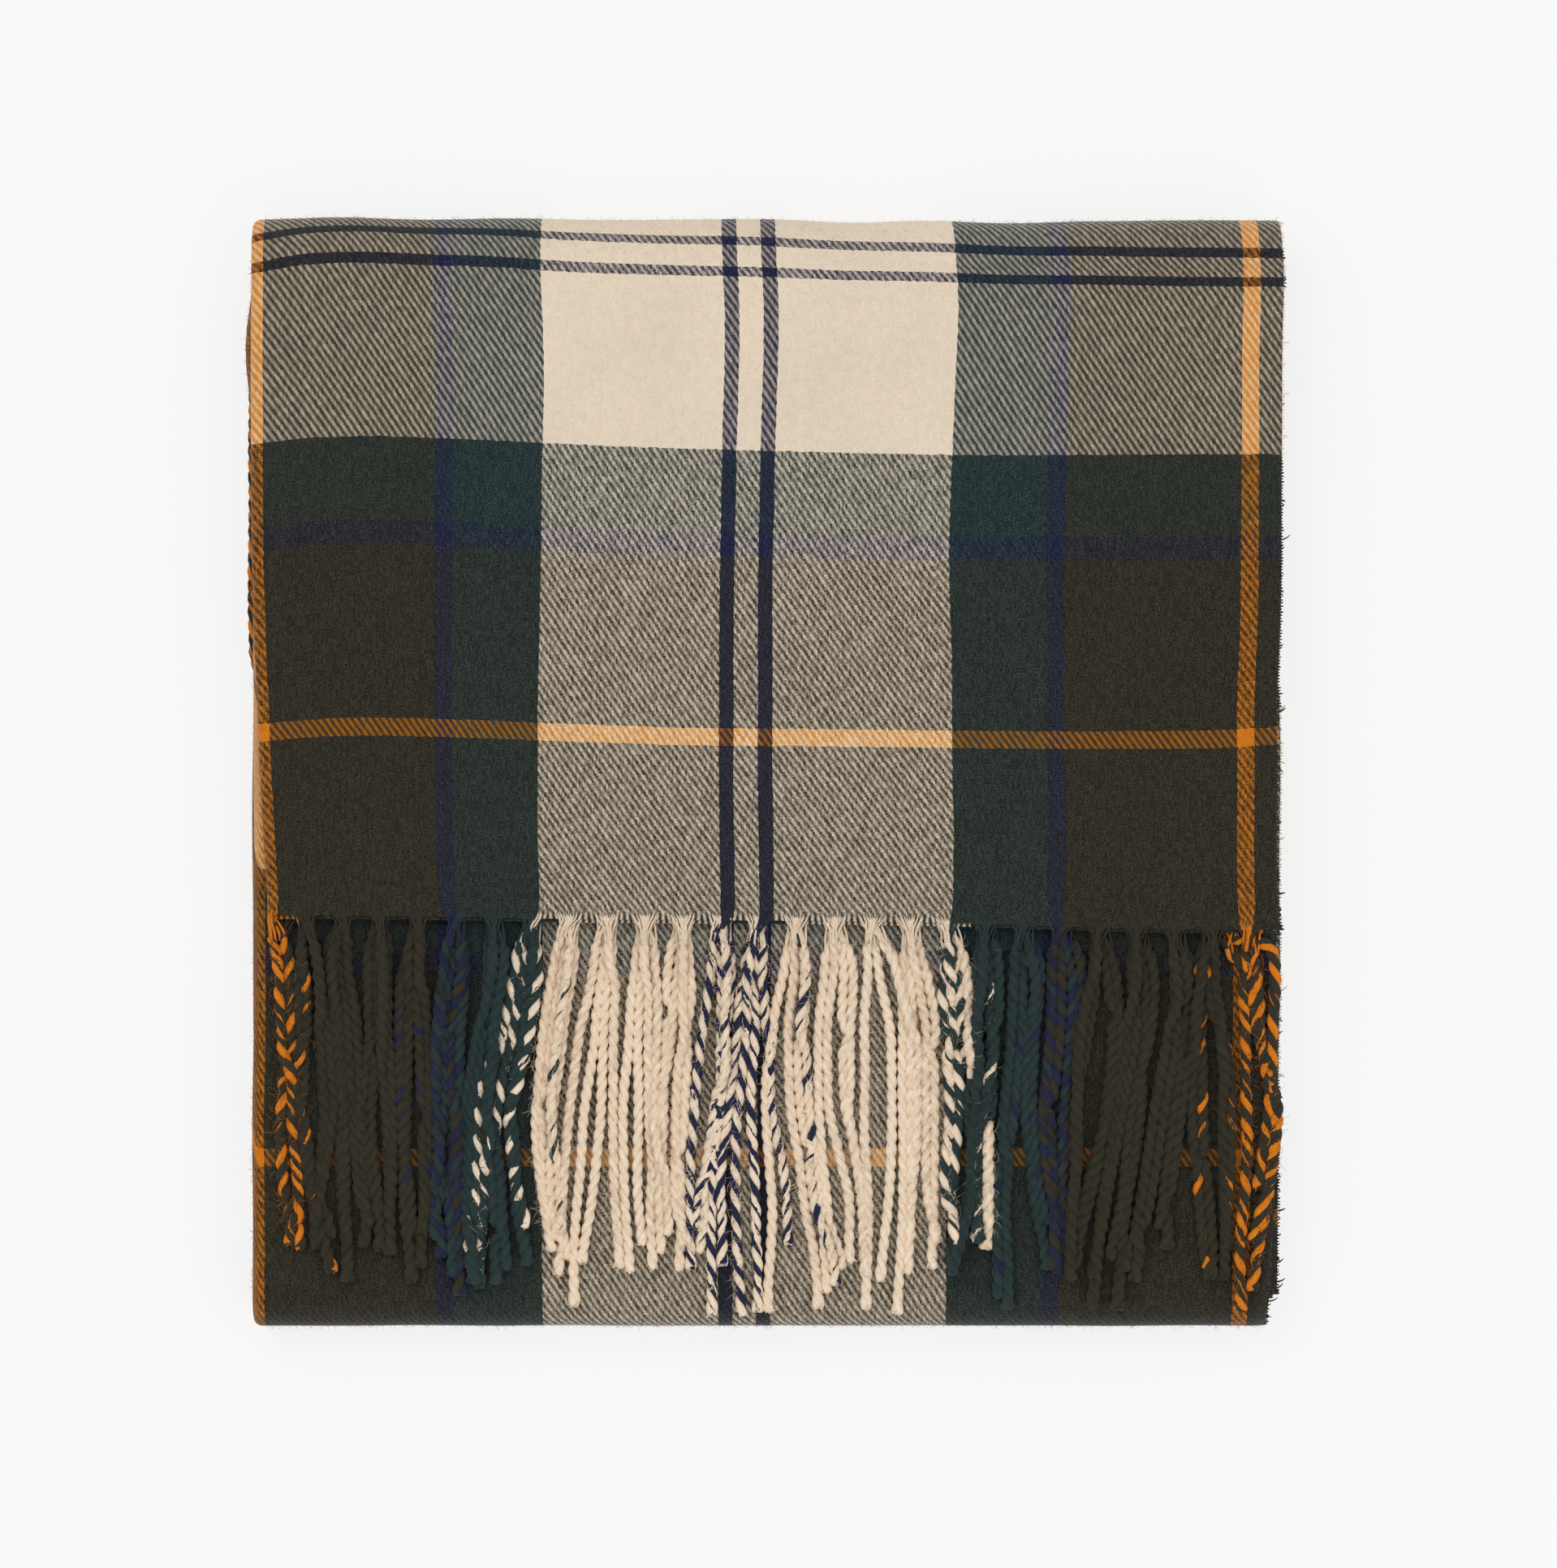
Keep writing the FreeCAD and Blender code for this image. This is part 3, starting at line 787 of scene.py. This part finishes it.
LOWER_PATHS = {
    3: {
        0: (70, 86, 70, 45, 30, 100), 9: (-10, -20, -23, -19, -47, 130),
        10: (21, 58, 70, 58, 25, 120), 11: (-20, -40, -54, -33, -17, 124),
        12: (-40, -80, -107, -79, -93, 131), 13: (-12, -12, -24, -8, 0, 130),
        14: (10, 6, -5, -33, -33, 131), 16: (-24, -48, -88, -80, -60, 117),
        17: (-17, -33, -78, -106, -110, 129), 19: (-47, -100, -169, -193, -213, 120),
    },
    4: {
        9: (0, 10, 0, 10, -6, 118), 13: (-30, -60, -105, -130, -122, 117),
        16: (-10, -20, -28, -28, -11, 109), 17: (0, -13, -17, -54, -90, 115),
    },
}


def path_of(ply, number):
    """One cord's row in millimetres, made up from the row above it for a lower ply without one."""
    row = PATHS[ply][number] if ply in PATHS else LOWER_PATHS[ply].get(number)
    if row:
        return (*(np.array(row[:5]) / 10), row[5])
    above = PATHS[ply - 2][number]
    nudge = rng.normal(0, 1.0, 5)
    return (*(np.array(above[:5]) / 10 + nudge), above[5] * rng.uniform(0.88, 0.98))


def fullness(number):
    """How full the cords of each gather are: the undyed cream yarns twist up the thinnest."""
    return np.where((number >= 9) & (number <= 18), 0.98, 1.13)


SETTLE_STEPS = 90
FALL = 0.25
GUIDE = 0.22  # how strongly a cord is drawn to its own path
CORDS_TOUCH = 0.92  # of a cord's width: wool gives a little
PUSH, LARGEST_PUSH = 0.42, 0.8
BEND = 0.15
START_RISE = {1: 5.0, 2: 3.4, 3: 1.5, 4: 0.4}  # each ply's cords start above those under them


def settle_cords(roots, ply, number):
    """Lets the cords down on the layer beneath, side by side and over one another."""
    count = len(roots)
    rows = np.array([path_of(p, k) for p, k in zip(ply, number)])
    lengths = rows[:, 5] + 1.5
    share = np.linspace(0, 1, CORD_POINTS)
    steps = lengths[:, None] * share[None, :]
    gap = lengths / (CORD_POINTS - 1)
    wanted = np.zeros_like(steps)
    wander = 0.45 * ripple(steps, 50.0 * np.arange(count)[:, None], 44, 34)
    for cord in range(count):
        start = roots[cord, 0] - gather_x[number[cord]]
        knots = [0, 4] + PATH_STOPS + [rows[cord, 5]]
        values = [start, 0.75 * start + 0.25 * rows[cord, 0], *rows[cord, :5]]
        for shift, weight in ((-6, 1), (-3, 2), (0, 3), (3, 2), (6, 1)):
            reach = np.clip(steps[cord] + shift * np.minimum(1, steps[cord] / 9), 0, None)
            wanted[cord] += weight / 9 * np.interp(reach, knots, values)
        wanted[cord] += gather_x[number[cord]] + wander[cord] * np.minimum(1, steps[cord] / 15)
    wanted = np.clip(wanted, LEFT + 2.5, RIGHT + 1)
    height = np.broadcast_to(roots[:, None, 2], steps.shape)
    chain = np.stack([wanted, roots[:, None, 1] - steps, height], axis=-1)
    chain[:, 2:, 2] += np.array([START_RISE[p] for p in ply])[:, None] - 2.0
    floor = FRINGE_FLOOR + VISIBLE_CORD / 2
    itself = np.eye(count, dtype=bool)[:, :, None]
    for _ in range(SETTLE_STEPS):
        chain[:, 2:, 2] -= FALL
        chain[:, 2:, 0] += GUIDE * (wanted[:, 2:] - chain[:, 2:, 0])
        a = chain[:, 1:]
        apart = a[:, None] - a[None, :]
        apart[..., 1] *= 0.3
        distance = np.linalg.norm(apart, axis=-1) + 1e-6
        depth = np.clip(VISIBLE_CORD * CORDS_TOUCH - distance, 0, None)
        push = np.where(itself, 0, depth / distance)
        move = PUSH * (apart * push[..., None]).sum(axis=1)
        move[..., 1] = 0
        chain[:, 2:] += np.clip(move, -LARGEST_PUSH, LARGEST_PUSH)[:, 1:]
        chain[:, 2:-1] += BEND * (chain[:, 1:-2] + chain[:, 3:] - 2 * chain[:, 2:-1])
        chain[:, 3:, 2] = np.maximum(chain[:, 3:, 2], floor)
        for k in range(2, CORD_POINTS):
            step = unit(chain[:, k] - chain[:, k - 1])
            chain[:, k] = chain[:, k - 1] + step * gap[:, None]
    return chain, lengths


def resample(chain, count, first):
    """A smooth path of evenly spaced points along each chain, from a first share of its length."""
    last = chain.shape[1] - 1
    new = np.linspace(first * last, last, count)
    index = np.clip(new.astype(int), 0, last - 1)
    t = (new - index)[None, :, None]
    before, start, stop, after = (
        chain[:, np.clip(index + step, 0, last)] for step in (-1, 0, 1, 2)
    )
    return 0.5 * (
        2 * start + (stop - before) * t
        + (2 * before - 5 * start + 4 * stop - after) * t ** 2
        + (3 * start - before - 3 * stop + after) * t ** 3
    )


def strand_paths(centre, diameter, twist, phase, step_length):
    """The two strands of each cord, wound round its middle line."""
    side, upward = sides_of(unit(np.gradient(centre, axis=1)))
    distance = np.arange(centre.shape[1])[None, :] * step_length[:, None]
    angle = twist * 2 * math.pi * distance / STRAND_TWIST + phase[:, None]
    offset = STRAND_OFFSET * diameter[:, None, None]
    strands = [centre + offset * circle(angle + half, side, upward) for half in (0, math.pi)]
    return strands, distance


def wound_marks(low, distance, angles, number, twist):
    """Cloth and fibre coordinates for a strand that holds half a cord's warp yarns, from u low."""
    turned = angles[None, None, :] - YARN_TURNING * twist * distance[:, :, None]
    swing = np.abs(((turned / math.pi) % 2) - 1)
    u = low[:, None, None] + CORD_PITCH / 2 * swing
    s = np.broadcast_to(distance[:, :, None], u.shape)
    mark = np.broadcast_to(number[:, None, None], u.shape)
    cloth = np.stack([u, s, mark], axis=-1)
    fibre = np.stack([1.1 * np.cos(turned), 1.1 * np.sin(turned), 0.22 * s + 7.3 * mark], axis=-1)
    return cloth.reshape(-1, 3), fibre.reshape(-1, 3)


def cords_piece(name, chain, u_centres, lengths, diameter, twist, step, sides, first):
    """One piece of mesh with the twisted cords of one ply: two strands and a tuft for each."""
    count = max(8, int(CORD_LENGTH * (1 - first) / step))
    centre = resample(chain, count, first)
    step_length = lengths * (1 - first) / (count - 1)
    phase = rng.uniform(0, 2 * math.pi, len(chain))
    strands, distance = strand_paths(centre, diameter, twist, phase, step_length)
    parts, faces, base = [], [], 0
    share = distance / distance[:, -1:]
    for half, path in enumerate(strands):
        uneven = ripple(distance, 40.0 * np.arange(len(chain))[:, None], 31 + half, 14)
        sizes = STRAND_RADIUS * diameter[:, None] * (1 + 0.05 * uneven)
        sizes = sizes * (0.72 + 0.28 * smooth(distance / 5))
        sizes = sizes * (1 + 0.26 * smooth((share - 0.955) / 0.045))
        low = u_centres + (half - 1) * CORD_PITCH / 2
        number = np.arange(len(chain)) * 2.0 + half
        strand = (
            tube_rings(path, sizes, sides).reshape(-1, 3), tube_faces(len(chain), count, sides),
            *wound_marks(low, distance, ring_angles(sides), number, twist),
        )
        for points, part_faces, cloth, fibre in (
            strand, tip_tufts(path, diameter, low, number, distance),
        ):
            parts.append((points, cloth, fibre))
            faces += [face + base for face in part_faces]
            base += len(points)
    points, cloth, fibre = (np.concatenate(values) for values in zip(*parts))
    return mesh_piece(name, points, merge_faces(faces), {"cloth": cloth, "fibre": fibre})


def merge_faces(faces):
    """Face arrays grouped by their number of corners."""
    sizes = sorted({f.shape[1] for f in faces})
    return [np.concatenate([f for f in faces if f.shape[1] == size]) for size in sizes]


TUFT_FIBRES = 9


def tip_tufts(path, diameter, low, number, distance):
    """The cut yarns that spread a little from the tip of each strand."""
    tip = np.repeat(path[:, -1], TUFT_FIBRES, axis=0)
    ahead = np.repeat(unit(path[:, -1] - path[:, -4]), TUFT_FIBRES, axis=0)
    total = len(tip)
    thickness = np.repeat(diameter, TUFT_FIBRES)[:, None]
    spread = rng.normal(0, 1, (total, 3))
    spread -= ahead * (spread * ahead).sum(axis=1, keepdims=True)
    start = tip + unit(spread) * rng.uniform(0.05, 0.3, (total, 1)) * thickness - 0.9 * ahead
    length = rng.uniform(1.1, 1.9, (total, 1))
    paths = np.stack(
        [start + length * (t * ahead + 0.22 * t * t * spread) for t in (0.0, 0.5, 1.0)], axis=1
    )
    sizes = rng.uniform(0.2, 0.34, (total, 1)) * np.array([[1.0, 0.95, 0.7]])
    sides = 4
    points = tube_rings(paths, sizes, sides).reshape(-1, 3)
    per_tip = np.repeat(low, TUFT_FIBRES) + rng.uniform(0, CORD_PITCH / 2, total)
    s = np.repeat(distance[:, -1], TUFT_FIBRES)
    marks = np.stack([per_tip, s, np.repeat(number, TUFT_FIBRES)], axis=-1)
    marks = np.repeat(marks, 3 * sides, axis=0)
    return points, tube_faces(total, 3, sides), marks, points * 0.7


ROOT_YARNS = 11
ROOT_SPREAD = 0.8  # of the cords' pitch
ROOT_STATIONS = ((3.6, 0.25), (1.6, 0.33), (0.1, 0.2))  # in from the cut end, over the cloth
ROOT_TAPER = np.array([[0.5, 0.75, 0.85, 0.95, 1, 1.1, 1.15]])


def on_chain(chain, cord, place):
    """The point at a place along each listed cord, and the way the cord goes there."""
    whole = place.astype(int)
    part = (place - whole)[:, None]
    start, stop = chain[cord, whole], chain[cord, whole + 1]
    return start * (1 - part) + stop * part, unit(stop - start)


def roots_piece(name, chain, u_centres, lengths, diameter):
    """The warp ends that gather from the cut edge into each cord, as a fan of loose yarns."""
    place = (ROOT_LENGTH * 1.1 / lengths) * (chain.shape[1] - 1)
    meeting, _ = on_chain(chain, np.arange(len(chain)), place)
    paths, marks = [], []
    for yarn in range(ROOT_YARNS):
        place = (yarn + 0.5) / ROOT_YARNS - 0.5
        u = u_centres + place * CORD_PITCH * ROOT_SPREAD
        steps = [
            cloth_point(u, np.full_like(u, v)) + np.array([0.0, 0.0, lift])
            for v, lift in ROOT_STATIONS
        ]
        edge = steps[-1]
        turn_by = 2 * math.pi * yarn * 0.38 + rng.uniform(0, 0.6, len(u))
        end = meeting + 0.25 * diameter[:, None] * np.stack(
            [np.cos(turn_by), 0 * turn_by, np.sin(turn_by)], axis=-1
        )
        loose = rng.normal(0, 0.16, (len(u), 3))
        for t in (0.25, 0.5, 0.75, 1.0):
            line = edge + (end - edge) * t + loose * math.sin(math.pi * t)
            line[:, 0] -= (edge[:, 0] - end[:, 0]) * 0.16 * math.sin(math.pi * t)
            steps.append(line)
        paths.append(np.stack(steps, axis=1))
        marks.append(np.stack([u, np.full_like(u, yarn), u], axis=-1))
    paths, marks = np.concatenate(paths), np.concatenate(marks)
    sizes = rng.uniform(0.36, 0.5, (len(paths), 1)) * ROOT_TAPER
    return yarns_piece(name, paths, sizes, 5, marks, (1.6, 0.25, 1.6))


HAIRS_PER_CORD = 480


def hairs_piece(name, chain, u_centres, diameter):
    """Fine loose fibres that stand off the brushed cords of one ply."""
    count = len(chain) * HAIRS_PER_CORD
    cord = np.repeat(np.arange(len(chain)), HAIRS_PER_CORD)
    place = rng.uniform(0.06, 0.97, count) * (chain.shape[1] - 2)
    middle, ahead = on_chain(chain, cord, place)
    outward = circle(rng.uniform(0, 2 * math.pi, count), *sides_of(ahead))
    slant = rng.normal(0, 0.9, (count, 1)) * ahead + rng.normal(0, 0.5, (count, 3))
    length = rng.uniform(1.5, 5.5, (count, 1))
    root = middle + 0.44 * diameter[cord, None] * outward
    steps = [
        root + length * t * unit(outward * (1.1 - 0.9 * t) + slant) for t in (0.0, 0.5, 1.0)
    ]
    paths = np.stack(steps, axis=1)
    paths[..., 2] = np.maximum(paths[..., 2], FRINGE_FLOOR + 0.15)
    sizes = rng.uniform(0.045, 0.075, (count, 1)) * FIBRE_TAPER
    u = u_centres[cord] + rng.uniform(-0.5, 0.5, count) * CORD_PITCH
    return yarns_piece(name, paths, sizes, 3, np.stack([u, place, cord], axis=-1), (1, 1, 1))


def far_chain(u_centres, lengths, ply):
    """The far fringe, pressed nearly straight between two layers of the stack."""
    roots = cloth_point(u_centres, np.full_like(u_centres, CLOTH_END))
    steps = lengths[:, None] * np.linspace(0, 1, CORD_POINTS)[None, :]
    lower = run_3_low[2] + PRESSED_CORD / 2
    upper = run_3_high[2] - PRESSED_CORD / 2
    height = np.where(ply <= 2, upper, lower)
    settle_in = smooth(steps / 12)
    z = roots[:, None, 2] * (1 - settle_in) + height[:, None] * settle_in
    x = roots[:, None, 0] + 0.35 * ripple(steps, 9.0 * u_centres[:, None], 17, 60)
    # Plies that share a level lie two fifths of a pitch apart.
    beside = np.where(ply % 2 == 1, -1.0, 1.0) * CORD_PITCH / 5
    x = x + beside[:, None] * settle_in
    return np.stack([x, roots[:, None, 1] + steps, z], axis=-1)


# ---- building the throw

STACK_NODES = [
    "base_panel", "bottom_fold", "inner_panel_1", "inner_top_fold", "inner_panel_2",
    "inner_bottom_fold", "inner_panel_3",
]
FLAP_NODES = ["flap_panel", "top_fold"]

tartan = tartan_material()
weft_yarn = weft_ends_material()
warp_cord = cord_material()

near_cut_v = [0.0, 0.7, 1.5, 2.5, 4.0, 6.0, 8.5, 11.5, 15.0, 20.0]
flap_v = along_samples(0, 2, 4.5, 1.9)
flap_v = np.concatenate([near_cut_v, flap_v[flap_v > 22]])
flap_cloth = cloth_piece("flap_cloth", across_samples(1.6, 8), flap_v)
stack_cloth = cloth_piece("stack_cloth", across_samples(5.0, 8), along_samples(2, 9, 7.0, 1.6))
flap_ends = weft_ends_piece("flap_weft_ends", 0.0, FLAP_END)
stack_ends = weft_ends_piece("stack_weft_ends", FLAP_END, CLOTH_END)
flap_nap = nap_piece("flap_nap", [
    (2600, CROSSINGS[6], CLOTH_WIDTH, STARTS[1], STARTS[2]),
    (900, CROSSINGS[5], CROSSINGS[6], 0.0, STARTS[1]),
])
stack_nap = nap_piece("stack_nap", [
    (2600, CROSSINGS[6], CLOTH_WIDTH, STARTS[3], STARTS[4]),
    (900, CROSSINGS[5], CROSSINGS[6], STARTS[4], STARTS[5]),
])

# The flap's cloth runs on through the top fold. Its pieces are attached to no body; only their
# transform is baked into their meshes.
for piece in (flap_cloth, flap_ends, flap_nap):
    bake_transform(piece)
for piece in (stack_cloth, stack_ends, stack_nap):
    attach(piece, "stack")
for piece in (flap_cloth, stack_cloth, flap_nap, stack_nap):
    piece.data.materials.append(tartan)
for piece in (flap_ends, stack_ends):
    piece.data.materials.append(weft_yarn)
for cloth, ends, nodes in (
    (flap_cloth, flap_ends, FLAP_NODES), (stack_cloth, stack_ends, STACK_NODES),
):
    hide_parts(*nodes)
    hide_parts(*[node + "_weft_ends" for node in nodes])

cord_ply = np.concatenate([np.full(count, ply) for ply, count in CORDS_PER_PLY.items()])
cord_number = np.concatenate([np.arange(count) for count in CORDS_PER_PLY.values()])
cord_u = np.concatenate([cords_of_ply(ply) for ply in CORDS_PER_PLY])
root_points = cloth_point(cord_u, np.zeros_like(cord_u))
chains, cord_lengths = settle_cords(root_points, cord_ply, cord_number)
front_pieces = []
for ply in (1, 2, 3, 4):
    mine = cord_ply == ply
    sign = 1.0 if ply % 2 else -1.0
    widths = VISIBLE_CORD * fullness(cord_number[mine])
    cords = cords_piece(
        f"front_cords_ply_{ply}", chains[mine], cord_u[mine], cord_lengths[mine],
        widths, sign, 1.0, 9, ROOT_LENGTH / CORD_LENGTH,
    )
    gathers = roots_piece(
        f"front_gathers_ply_{ply}", chains[mine], cord_u[mine], cord_lengths[mine], widths
    )
    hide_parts(f"front_fringe_ply_{ply}")
    front_pieces += [cords, gathers]
    if ply <= 2:
        front_pieces.append(
            hairs_piece(f"front_hairs_ply_{ply}", chains[mine], cord_u[mine], widths)
        )
for piece in front_pieces:
    piece.data.materials.append(warp_cord)
    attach(piece, "flap")

far_lengths = CORD_LENGTH * rng.uniform(0.94, 1.0, len(cord_u))
hidden_chains = far_chain(cord_u, far_lengths, cord_ply)
for ply in (1, 2, 3, 4):
    mine = cord_ply == ply
    sign = 1.0 if ply % 2 else -1.0
    cords = cords_piece(
        f"far_cords_ply_{ply}", hidden_chains[mine], cord_u[mine], far_lengths[mine],
        np.full(mine.sum(), PRESSED_CORD), sign, 2.0, 5, 0.0,
    )
    cords.data.materials.append(warp_cord)
    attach(cords, "stack")
    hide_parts(f"far_fringe_ply_{ply}")

# ---- floor, light and camera

VIEW_HEIGHT = 533.2  # how much of the top layer's plane the picture takes in, along Y
CAMERA_DISTANCE = 2500.0
SENSOR = 36.0
AIM_X, AIM_Y = 2.7, -4.0
SKY_STRENGTH = 0.72
FLOOR_SHADED, FLOOR_GLOW = 0.16, 0.79  # a floor lit from within keeps its shadows faint


def floor_piece():
    """A large plain pale floor under the throw."""
    size = 4000.0
    points = size * np.array([[-1, -1, 0], [1, -1, 0], [1, 1, 0], [-1, 1, 0]])
    floor = mesh_piece("floor", points, [np.array([[0, 1, 2, 3]])], {})
    floor.location.z = -0.1 * MM
    n = Nodes("pale_floor")
    floor.data.materials.append(n.surface(
        Base_Color=(FLOOR_SHADED, FLOOR_SHADED, FLOOR_SHADED, 1), Roughness=0.9,
        Specular_IOR_Level=0.0, Emission_Color=(1, 1, 1, 1), Emission_Strength=FLOOR_GLOW,
    ))


def soft_light(name, location, size, power):
    lamp = bpy.data.lights.new(name, "AREA")
    lamp.shape = "DISK"
    lamp.size = size
    lamp.energy = power
    light = bpy.data.objects.new(name, lamp)
    light.location = location
    light.rotation_euler = (-Vector(location)).to_track_quat("-Z", "Y").to_euler()
    bpy.context.scene.collection.objects.link(light)


def studio():
    world = bpy.data.worlds.new("studio")
    world.use_nodes = True
    sky = world.node_tree.nodes["Background"]
    sky.inputs["Color"].default_value = (1, 1, 1, 1)
    sky.inputs["Strength"].default_value = SKY_STRENGTH
    bpy.context.scene.world = world
    soft_light("key", (-0.9, 1.1, 2.2), 1.3, 15.5)
    soft_light("fill", (1.0, -1.5, 2.0), 1.6, 12.0)
    bpy.context.scene.view_settings.view_transform = "Standard"


def overhead_camera():
    camera = bpy.data.cameras.new("camera")
    camera.sensor_width = SENSOR
    camera.lens = SENSOR * CAMERA_DISTANCE / VIEW_HEIGHT
    camera.clip_end = 20.0
    eye = bpy.data.objects.new("camera", camera)
    eye.location = (AIM_X * MM, AIM_Y * MM, (CAMERA_DISTANCE + flap_high[2]) * MM)
    bpy.context.scene.collection.objects.link(eye)
    bpy.context.scene.camera = eye


floor_piece()
studio()
overhead_camera()

bpy.context.view_layer.update()
